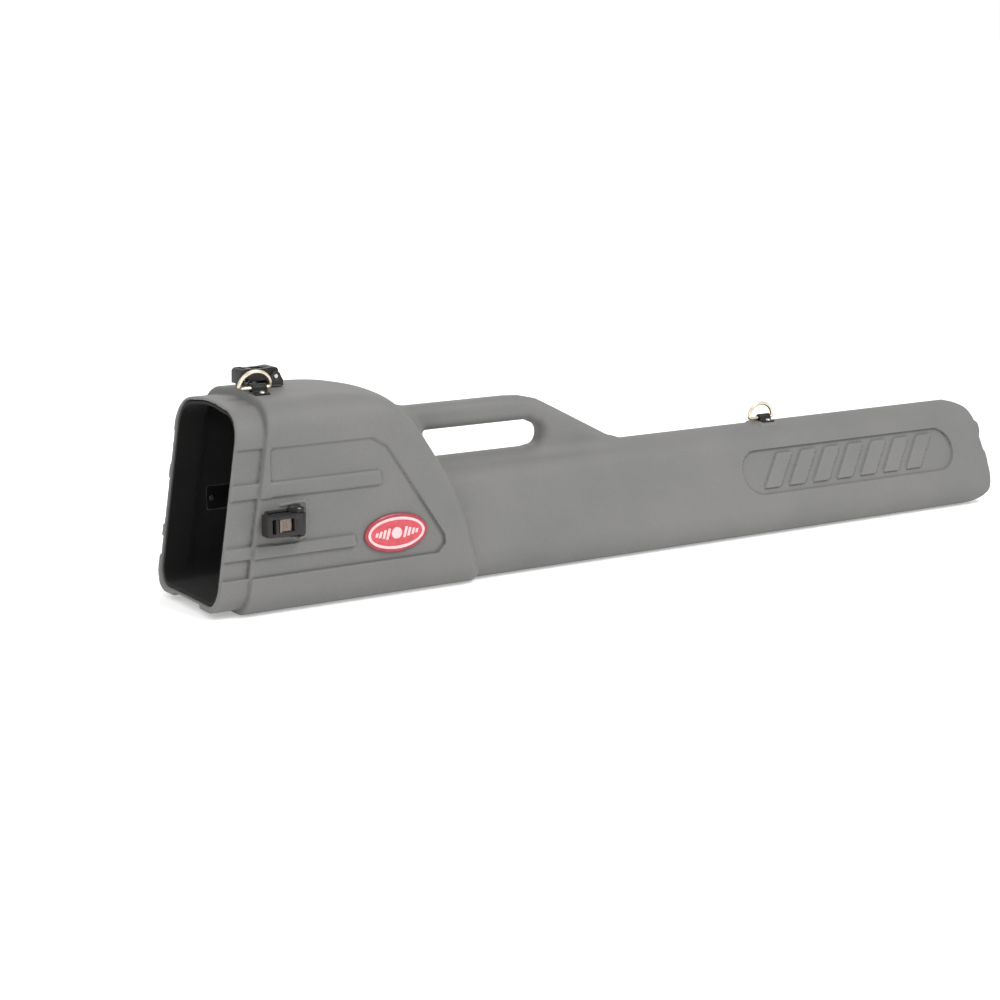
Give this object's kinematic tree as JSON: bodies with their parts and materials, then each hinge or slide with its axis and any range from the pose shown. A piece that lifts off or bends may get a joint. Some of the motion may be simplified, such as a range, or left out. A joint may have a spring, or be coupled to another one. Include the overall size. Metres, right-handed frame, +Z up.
{
  "type": "golf travel case",
  "caption": "Hard moulded golf travel case shown open: wide head with a mouth, moulded carrying handle, long club tube, draw latches and D-rings for a strap.",
  "frame": {"origin": "centre of the bounding box in plan, on the plane the case rests on", "axes": "+X runs along the case from the open mouth to the blind end of the tube, +Z is up towards the handle, +Y is the side away from the badge"},
  "size_m": [1.0044, 0.177, 0.2249],
  "materials": {
    "shell": "fine moulded texture, matte",
    "lining": "black brushed fabric on thin foam",
    "pad": "dense black foam",
    "badge": "domed red resin",
    "latch": "glass-filled black nylon, satin",
    "trigger": "dark nylon, satin",
    "steel": "zinc plated",
    "backing": "black",
    "ring": "warm nickel plated wire"
  },
  "bodies": {
    "case": {"case_shell": "shell", "head_lining": "lining", "tube_lining": "lining", "end_pad": "pad", "badge": "badge", "near_latch_base": "latch", "near_latch_pivot_pin": "steel", "near_latch_backing_plate": "backing", "near_latch_rivet_1": "steel", "near_latch_rivet_2": "steel", "near_latch_rivet_3": "steel", "far_latch_base": "latch", "far_latch_pivot_pin": "steel", "far_latch_backing_plate": "backing", "far_latch_rivet_1": "steel", "far_latch_rivet_2": "steel", "far_latch_rivet_3": "steel", "top_latch_base": "latch", "top_latch_pivot_pin": "steel", "top_latch_backing_plate": "backing", "top_latch_rivet_1": "steel", "top_latch_rivet_2": "steel", "top_latch_rivet_3": "steel", "front_ring_bracket": "latch", "front_ring_washer": "backing", "front_ring_rivet_1": "steel", "front_ring_rivet_2": "steel", "rear_ring_bracket": "latch", "rear_ring_washer": "backing", "rear_ring_rivet_1": "steel", "rear_ring_rivet_2": "steel"},
    "near_lever": {"near_latch_lever": "latch", "near_latch_trigger_pin": "steel", "near_latch_spring": "steel"},
    "near_trigger": {"near_latch_trigger": "trigger"},
    "far_lever": {"far_latch_lever": "latch", "far_latch_trigger_pin": "steel", "far_latch_spring": "steel"},
    "far_trigger": {"far_latch_trigger": "trigger"},
    "top_lever": {"top_latch_lever": "latch", "top_latch_trigger_pin": "steel", "top_latch_spring": "steel"},
    "top_trigger": {"top_latch_trigger": "trigger"},
    "front_ring": {"front_ring_d_ring": "ring"},
    "rear_ring": {"rear_ring_d_ring": "ring"}
  },
  "joints": [
    {"name": "near_lever_hinge", "type": "hinge", "parent": "case", "child": "near_lever", "pos_m": [-0.42183, -0.08, 0.088], "axis": [0, 0, 1], "range_deg": [0, 95]},
    {"name": "near_trigger_hinge", "type": "hinge", "parent": "near_lever", "child": "near_trigger", "pos_m": [-0.43383, -0.0835, 0.088], "axis": [0, 0, 1], "range_deg": [0, 20], "stiffness_Nm_per_rad": 0.02, "springref_deg": -20.05},
    {"name": "far_lever_hinge", "type": "hinge", "parent": "case", "child": "far_lever", "pos_m": [-0.42183, 0.08, 0.088], "axis": [0, 0, -1], "range_deg": [0, 95]},
    {"name": "far_trigger_hinge", "type": "hinge", "parent": "far_lever", "child": "far_trigger", "pos_m": [-0.43383, 0.0835, 0.088], "axis": [0, 0, -1], "range_deg": [0, 20], "stiffness_Nm_per_rad": 0.02, "springref_deg": -20.05},
    {"name": "top_lever_hinge", "type": "hinge", "parent": "case", "child": "top_lever", "pos_m": [-0.40882, 0, 0.2145], "axis": [0, 1, 0], "range_deg": [0, 95]},
    {"name": "top_trigger_hinge", "type": "hinge", "parent": "top_lever", "child": "top_trigger", "pos_m": [-0.42083, 0, 0.218], "axis": [0, 1, 0], "range_deg": [0, 20], "stiffness_Nm_per_rad": 0.02, "springref_deg": -20.05},
    {"name": "front_ring_hinge", "type": "hinge", "parent": "case", "child": "front_ring", "pos_m": [-0.43783, -0.02578, 0.20724], "axis": [1, 0, 0], "range_deg": [-50, 88]},
    {"name": "rear_ring_hinge", "type": "hinge", "parent": "case", "child": "rear_ring", "pos_m": [0.18818, 0, 0.1182], "axis": [1, 0, 0], "range_deg": [-88, 88]}
  ]
}
